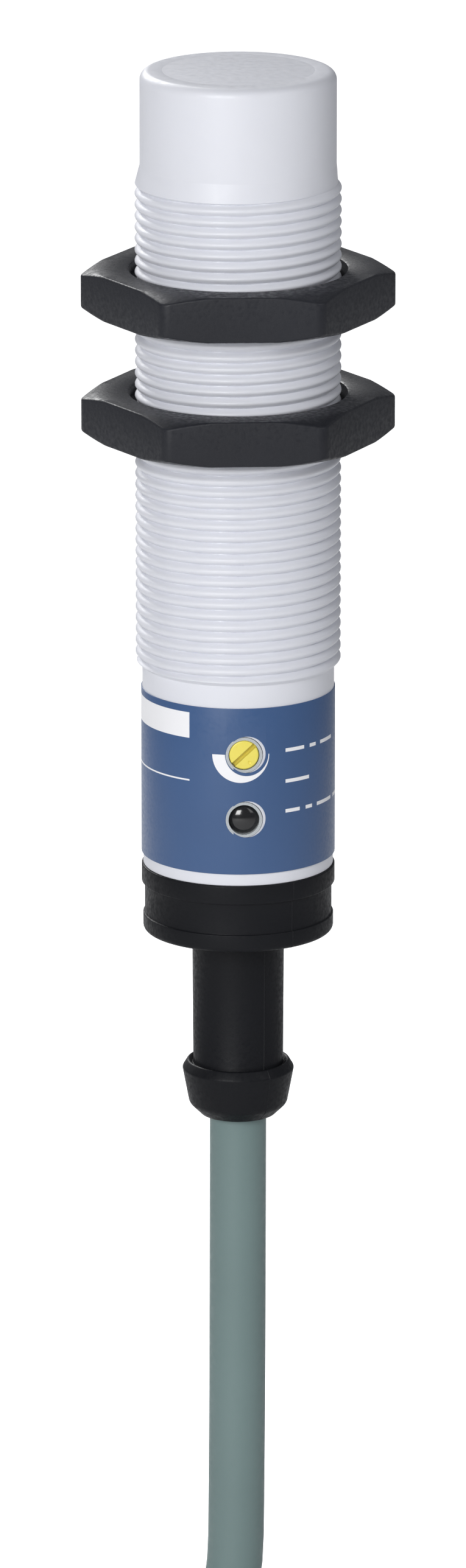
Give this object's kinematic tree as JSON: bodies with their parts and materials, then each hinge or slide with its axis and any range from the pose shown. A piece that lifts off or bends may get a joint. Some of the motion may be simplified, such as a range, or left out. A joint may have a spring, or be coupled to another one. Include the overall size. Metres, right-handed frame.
{
  "type": "proximity sensor",
  "caption": "Capacitive proximity sensor in a threaded plastic barrel with mounting nuts, sensitivity trimmer, status light and moulded grey cable.",
  "frame": {"origin": "on the barrel's axis, midway between the facing sides of the two nuts, where the panel is clamped", "axes": "+Z along the barrel towards the sensing face, -Y towards the side with the trimmer and the light"},
  "size_m": [0.0761, 0.0244, 0.217],
  "materials": {
    "barrel_white": "satin moulded PBT",
    "label_blue": "satin printed film",
    "nut_black": "fine textured moulded plastic",
    "copper": "bare copper",
    "carrier_plastic": "satin",
    "tinned_wire": "tinned",
    "board_green": "solder mask",
    "chip_black": "moulded epoxy",
    "resistor_black": "glazed",
    "capacitor_tan": "fired ceramic",
    "clear_plastic": "translucent",
    "knob_yellow": "moulded acetal",
    "trimmer_blue": "moulded",
    "light_dark": "polished",
    "cap_black": "fine textured moulded plastic",
    "seal_rubber": "matt",
    "core_brown": "PVC",
    "core_black": "PVC",
    "core_blue": "PVC",
    "potting_resin": "cast resin",
    "cable_grey": "satin PVC",
    "bare_copper": "bare stranded copper"
  },
  "bodies": {
    "barrel": {"barrel": "barrel_white", "label_sleeve": "label_blue", "face_disc": "barrel_white", "sensing_electrode": "copper", "guard_electrode": "copper", "electrode_carrier": "carrier_plastic", "electrode_pin": "tinned_wire", "guard_pin": "tinned_wire", "circuit_board": "board_green", "control_chip": "chip_black", "oscillator_transistor": "chip_black", "output_transistor": "chip_black", "protection_diode": "chip_black", "chip_resistors": "resistor_black", "chip_capacitors": "capacitor_tan", "trimmer_bush": "clear_plastic", "trimmer_base": "trimmer_blue", "light_bush": "clear_plastic", "light_guide": "light_dark", "led_chip": "carrier_plastic", "rear_cap": "cap_black", "cap_seal": "seal_rubber", "cable_grommet": "seal_rubber", "cable_crimp": "tinned_wire", "core_brown": "core_brown", "core_black": "core_black", "core_blue": "core_blue", "solder_joints": "tinned_wire", "potting_plug": "potting_resin", "cable_tube": "cable_grey", "cable_coil": "cable_grey", "coil_tie": "seal_rubber", "cable_tail": "cable_grey", "tail_core_brown": "core_brown", "tail_core_black": "core_black", "tail_core_blue": "core_blue", "tail_tips": "bare_copper"},
    "upper_nut": {"nut_upper": "nut_black"},
    "lower_nut": {"nut_lower": "nut_black"},
    "trimmer": {"trimmer_knob": "knob_yellow", "trimmer_wiper": "tinned_wire"}
  },
  "joints": [
    {"name": "upper_nut_travel", "type": "slide", "parent": "barrel", "child": "upper_nut", "axis": [0, 0, 1], "range_m": [-0.006, 0.006]},
    {"name": "lower_nut_travel", "type": "slide", "parent": "barrel", "child": "lower_nut", "axis": [0, 0, 1], "range_m": [-0.018, 0]},
    {"name": "trimmer_turn", "type": "hinge", "parent": "barrel", "child": "trimmer", "pos_m": [0, 0, -0.0342], "axis": [0, -1, 0], "range_deg": [-135, 135]}
  ]
}
